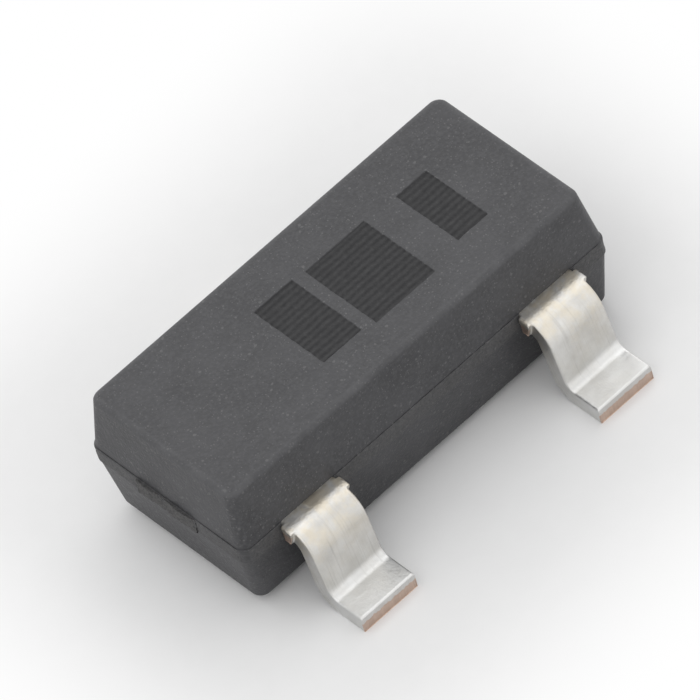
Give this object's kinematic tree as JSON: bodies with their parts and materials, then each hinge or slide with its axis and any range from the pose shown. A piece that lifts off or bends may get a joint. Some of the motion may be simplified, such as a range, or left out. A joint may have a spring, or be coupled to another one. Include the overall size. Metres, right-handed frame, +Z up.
{
  "type": "bipolar transistor",
  "caption": "Small-signal bipolar transistor in a drafted rectangular surface-mount body with gull-wing leads, base and emitter on one side and the collector on the other.",
  "frame": {"origin": "on the board, under the middle of the package", "axes": "+X along the body from the base lead to the emitter lead, +Y across it towards the single collector lead, +Z up away from the board"},
  "size_m": [0.003, 0.0024, 0.001],
  "materials": {
    "moulding_compound": "matte black epoxy with a fine filler grain",
    "tinned_lead_frame": "matte tin plating",
    "die_bond": "dull cured bond",
    "silicon": "sawn sides, polished top with bright metal",
    "gold_wire": "bright drawn wire"
  },
  "bodies": {
    "root": {"moulded_body": "moulding_compound", "collector_lead": "tinned_lead_frame", "base_lead": "tinned_lead_frame", "emitter_lead": "tinned_lead_frame", "die_attach": "die_bond", "silicon_die": "silicon", "base_bond_wire": "gold_wire", "emitter_bond_wire": "gold_wire"}
  },
  "joints": []
}
